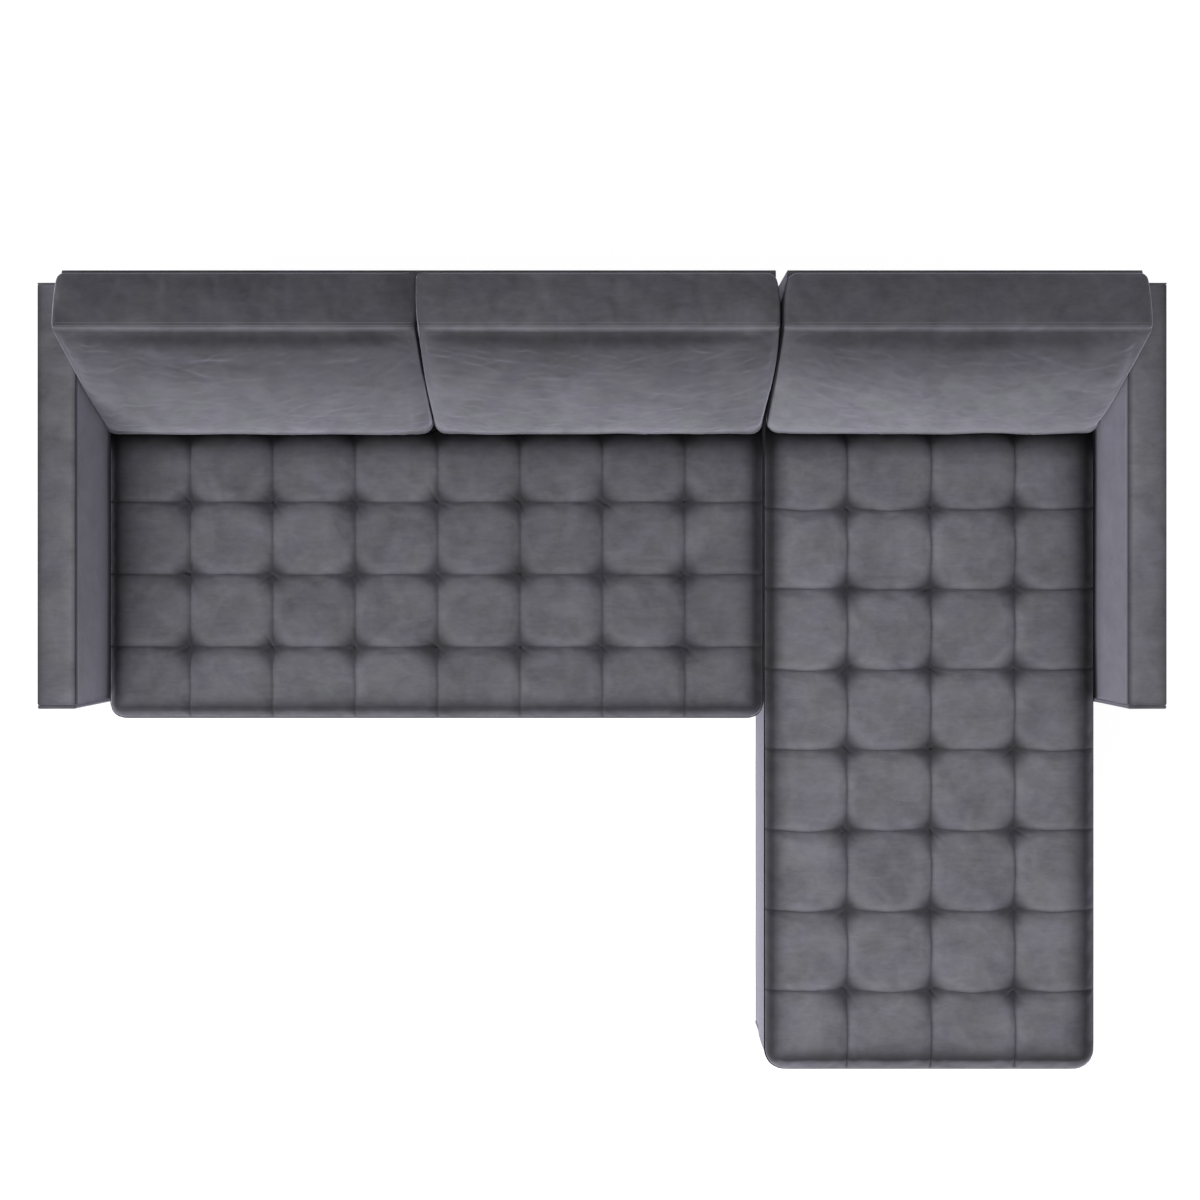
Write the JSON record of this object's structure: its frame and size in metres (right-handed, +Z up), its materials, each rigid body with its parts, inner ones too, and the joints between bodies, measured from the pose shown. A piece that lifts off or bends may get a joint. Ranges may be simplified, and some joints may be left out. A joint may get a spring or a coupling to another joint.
{
  "type": "corner sofa",
  "caption": "Corner sofa with a right-hand chaise: two boxy sections on tapered legs, tufted loose seat cushions and loose wedge back cushions.",
  "frame": {"origin": "on the floor under the middle of the bounding box", "axes": "+X to the chaise end (right as seen from the front), +Y to the back, +Z up"},
  "size_m": [2.5, 1.811, 0.7983],
  "materials": {
    "velvet": "matte",
    "leg_wood": "satin",
    "frame_timber": "matte",
    "spring_steel": "satin",
    "zinc_steel": "satin",
    "black_steel": "satin",
    "glide_plastic": "matte",
    "deck_cloth": "matte",
    "dust_cloth": "matte",
    "webbing": "matte",
    "foam": "matte"
  },
  "bodies": {
    "sofa_section": {"connector_pockets": "black_steel", "left_arm_bolts": "zinc_steel", "left_arm_frame": "frame_timber", "left_arm_front_cover": "velvet", "left_arm_inner_cover": "velvet", "left_arm_outer_cover": "velvet", "left_arm_rear_cover": "velvet", "left_arm_top_cover": "velvet", "sofa_back_edge_strips": "velvet", "sofa_back_posts": "frame_timber", "sofa_back_rails": "frame_timber", "sofa_back_webbing": "webbing", "sofa_base_rails": "frame_timber", "sofa_corner_blocks": "frame_timber", "sofa_deck_pad": "deck_cloth", "sofa_dust_cover": "dust_cloth", "sofa_front_cover": "velvet", "sofa_inner_back_cover": "velvet", "sofa_leg_bolts": "zinc_steel", "sofa_leg_glides": "glide_plastic", "sofa_leg_plates": "zinc_steel", "sofa_legs": "leg_wood", "sofa_outer_back_cover": "velvet", "sofa_seat_springs": "spring_steel", "sofa_side_covers": "velvet", "sofa_spring_clips": "zinc_steel"},
    "chaise_section": {"chaise_back_edge_strips": "velvet", "chaise_back_posts": "frame_timber", "chaise_back_rails": "frame_timber", "chaise_back_webbing": "webbing", "chaise_base_rails": "frame_timber", "chaise_corner_blocks": "frame_timber", "chaise_deck_pad": "deck_cloth", "chaise_dust_cover": "dust_cloth", "chaise_front_cover": "velvet", "chaise_inner_back_cover": "velvet", "chaise_leg_bolts": "zinc_steel", "chaise_leg_glides": "glide_plastic", "chaise_leg_plates": "zinc_steel", "chaise_legs": "leg_wood", "chaise_outer_back_cover": "velvet", "chaise_seat_springs": "spring_steel", "chaise_side_covers": "velvet", "chaise_spring_clips": "zinc_steel", "connector_tongues": "black_steel", "right_arm_bolts": "zinc_steel", "right_arm_frame": "frame_timber", "right_arm_front_cover": "velvet", "right_arm_inner_cover": "velvet", "right_arm_outer_cover": "velvet", "right_arm_rear_cover": "velvet", "right_arm_top_cover": "velvet"},
    "bench_seat": {"bench_cushion_cover": "velvet", "bench_cushion_core": "foam"},
    "chaise_seat": {"chaise_cushion_cover": "velvet", "chaise_cushion_core": "foam"},
    "left_back": {"left_back_cushion": "velvet"},
    "middle_back": {"middle_back_cushion": "velvet"},
    "right_back": {"right_back_cushion": "velvet"}
  },
  "joints": [
    {"name": "chaise_section_lift", "type": "slide", "parent": "sofa_section", "child": "chaise_section", "axis": [0, 0, 1], "range_m": [0, 0.06]},
    {"name": "bench_seat_lift", "type": "slide", "parent": "sofa_section", "child": "bench_seat", "axis": [0, 0, 1], "range_m": [0, 0.5]},
    {"name": "chaise_seat_lift", "type": "slide", "parent": "chaise_section", "child": "chaise_seat", "axis": [0, 0, 1], "range_m": [0, 0.5]},
    {"name": "left_back_lift", "type": "slide", "parent": "bench_seat", "child": "left_back", "axis": [0, 0, 1], "range_m": [0, 0.35]},
    {"name": "middle_back_lift", "type": "slide", "parent": "bench_seat", "child": "middle_back", "axis": [0, 0, 1], "range_m": [0, 0.35]},
    {"name": "right_back_lift", "type": "slide", "parent": "chaise_seat", "child": "right_back", "axis": [0, 0, 1], "range_m": [0, 0.35]}
  ]
}
